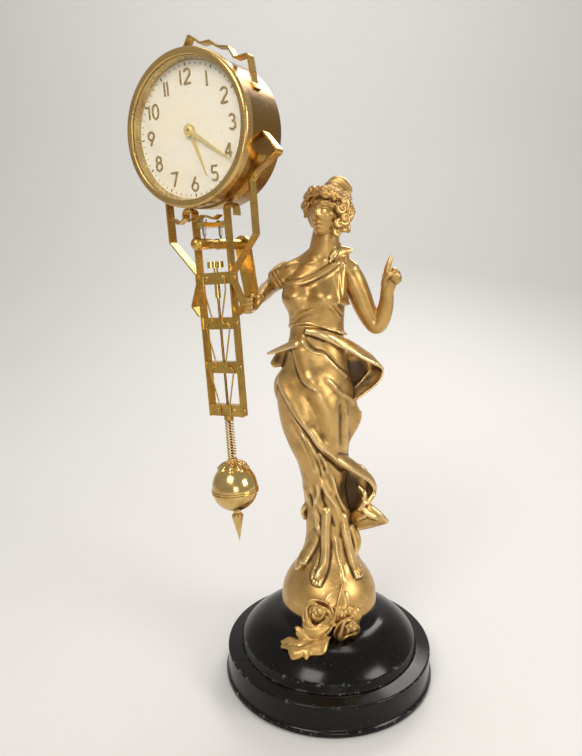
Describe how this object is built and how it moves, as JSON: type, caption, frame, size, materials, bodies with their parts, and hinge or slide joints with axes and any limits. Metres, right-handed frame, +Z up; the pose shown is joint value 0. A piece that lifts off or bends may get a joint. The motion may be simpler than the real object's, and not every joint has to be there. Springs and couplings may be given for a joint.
{
  "type": "swinging-arm figure clock",
  "caption": "Gilt cast figure on a black turned base holding out a bracket from which a drum clock with a lyre frame, ladder and spring bob hangs on points and swings as one pendulum.",
  "frame": {"origin": "centre of the underside of the base", "axes": "+Z up; the dial faces -Y; the figure is turned 29.5 degrees to the right of the dial"},
  "size_m": [0.236, 0.2445, 0.5956],
  "materials": {
    "felt": "matte",
    "black_lacquer": "gloss",
    "steel": "satin",
    "gilt_casting": "satin",
    "gilt_brass": "satin",
    "copper_gilt": "satin",
    "wire": "satin",
    "spring_steel": "satin",
    "glass": "gloss",
    "reflector": "satin",
    "ivory_enamel": "satin",
    "gilt_figures": "satin",
    "clock_brass": "satin",
    "weight": "matte"
  },
  "bodies": {
    "stand": {"felt_pad": "felt", "base_plinth": "black_lacquer", "base_dome": "black_lacquer", "tie_rod": "steel", "tie_nut": "steel", "globe_mound": "gilt_casting", "rose_spray": "gilt_casting", "figure_body": "gilt_casting", "figure_head": "gilt_casting", "figure_left_arm": "gilt_casting", "figure_right_arm": "gilt_casting", "bracket_plate": "gilt_brass", "support_arm": "gilt_brass", "arm_screw": "steel"},
    "pendulum": {"side_bar_left": "gilt_brass", "side_bar_right": "gilt_brass", "cross_blocks": "gilt_brass", "scroll_wires": "wire", "frame_screws": "steel", "pivot_bridge": "gilt_brass", "pivot_pins": "steel", "lyre_strap_left": "gilt_brass", "lyre_strap_right": "gilt_brass", "cradle_band": "gilt_brass", "zigzag_strip": "gilt_brass", "crest_strip": "gilt_brass", "drum_case": "gilt_brass", "bezel": "copper_gilt", "dial_glass": "glass", "reflector_ring": "reflector", "dial": "ivory_enamel", "dial_numerals": "gilt_figures", "back_cover": "gilt_brass", "front_plate": "clock_brass", "back_plate": "clock_brass", "movement_pillars": "clock_brass"},
    "centre": {"centre_wheel": "steel", "cannon_pinion": "steel", "minute_hand": "gilt_figures", "hand_nut": "gilt_figures", "set_knob": "gilt_brass"},
    "hour": {"hour_wheel": "clock_brass", "hour_hand": "gilt_figures"},
    "minute_wheel": {"minute_wheel": "clock_brass"},
    "barrel": {"barrel": "clock_brass", "mainspring": "spring_steel"},
    "winding": {"barrel_arbor": "steel", "winding_key": "gilt_brass"},
    "third": {"third_wheel": "steel"},
    "escape": {"escape_wheel": "steel"},
    "inner_pendulum": {"pallet_anchor": "steel", "inner_pendulum": "clock_brass"},
    "rating_nut": {"rating_nut": "gilt_brass"},
    "bob": {"rating_rod": "steel", "bob_spring": "spring_steel", "bob_upper_shell": "gilt_brass", "bob_lower_shell": "gilt_brass", "bob_weight": "weight", "bob_leaf_cap": "gilt_brass", "bob_finial": "gilt_brass"}
  },
  "joints": [
    {"name": "pendulum_swing", "type": "hinge", "parent": "stand", "child": "pendulum", "pos_m": [-0.0555, -0.111, 0.44], "axis": [0, 1, 0], "range_deg": [-6, 6]},
    {"name": "minute_hand_turn", "type": "hinge", "parent": "pendulum", "child": "centre", "pos_m": [-0.06211, -0.111, 0.52214], "axis": [0, 1, 0], "continuous": true},
    {"name": "hour_hand_turn", "type": "hinge", "parent": "pendulum", "child": "hour", "pos_m": [-0.06211, -0.111, 0.52214], "axis": [0, 1, 0], "continuous": true},
    {"name": "minute_wheel_turn", "type": "hinge", "parent": "pendulum", "child": "minute_wheel", "pos_m": [-0.05393, -0.111, 0.51028], "axis": [0, 1, 0], "continuous": true},
    {"name": "barrel_turn", "type": "hinge", "parent": "pendulum", "child": "barrel", "pos_m": [-0.07935, -0.111, 0.50188], "axis": [0, 1, 0], "continuous": true},
    {"name": "winding_turn", "type": "hinge", "parent": "pendulum", "child": "winding", "pos_m": [-0.07935, -0.111, 0.50188], "axis": [0, 1, 0], "continuous": true},
    {"name": "third_wheel_turn", "type": "hinge", "parent": "pendulum", "child": "third", "pos_m": [-0.05396, -0.111, 0.5393], "axis": [0, 1, 0], "continuous": true},
    {"name": "escape_wheel_turn", "type": "hinge", "parent": "pendulum", "child": "escape", "pos_m": [-0.03759, -0.111, 0.54679], "axis": [0, 1, 0], "continuous": true},
    {"name": "inner_pendulum_swing", "type": "hinge", "parent": "pendulum", "child": "inner_pendulum", "pos_m": [-0.04564, -0.111, 0.55763], "axis": [0, 1, 0], "range_deg": [-4, 4]},
    {"name": "rating_nut_turn", "type": "hinge", "parent": "pendulum", "child": "rating_nut", "pos_m": [-0.0541, -0.111, 0.42256], "axis": [-0.0802, 0, 0.9968], "range_deg": [-1445, 1445]},
    {"name": "bob_slide", "type": "slide", "parent": "pendulum", "child": "bob", "axis": [-0.0802, 0, 0.9968], "range_m": [-0.004, 0.004], "deforming": ["bob_spring"]}
  ],
  "couplings": [
    {"joint": "hour_hand_turn", "follows": "minute_hand_turn", "ratio": 0.083333},
    {"joint": "minute_wheel_turn", "follows": "minute_hand_turn", "ratio": -0.33333},
    {"joint": "barrel_turn", "follows": "minute_hand_turn", "ratio": -0.1875},
    {"joint": "third_wheel_turn", "follows": "minute_hand_turn", "ratio": -5.3333},
    {"joint": "escape_wheel_turn", "follows": "minute_hand_turn", "ratio": 26.667},
    {"joint": "rating_nut_turn", "follows": "bob_slide", "rad_per_m": 6283.2}
  ]
}
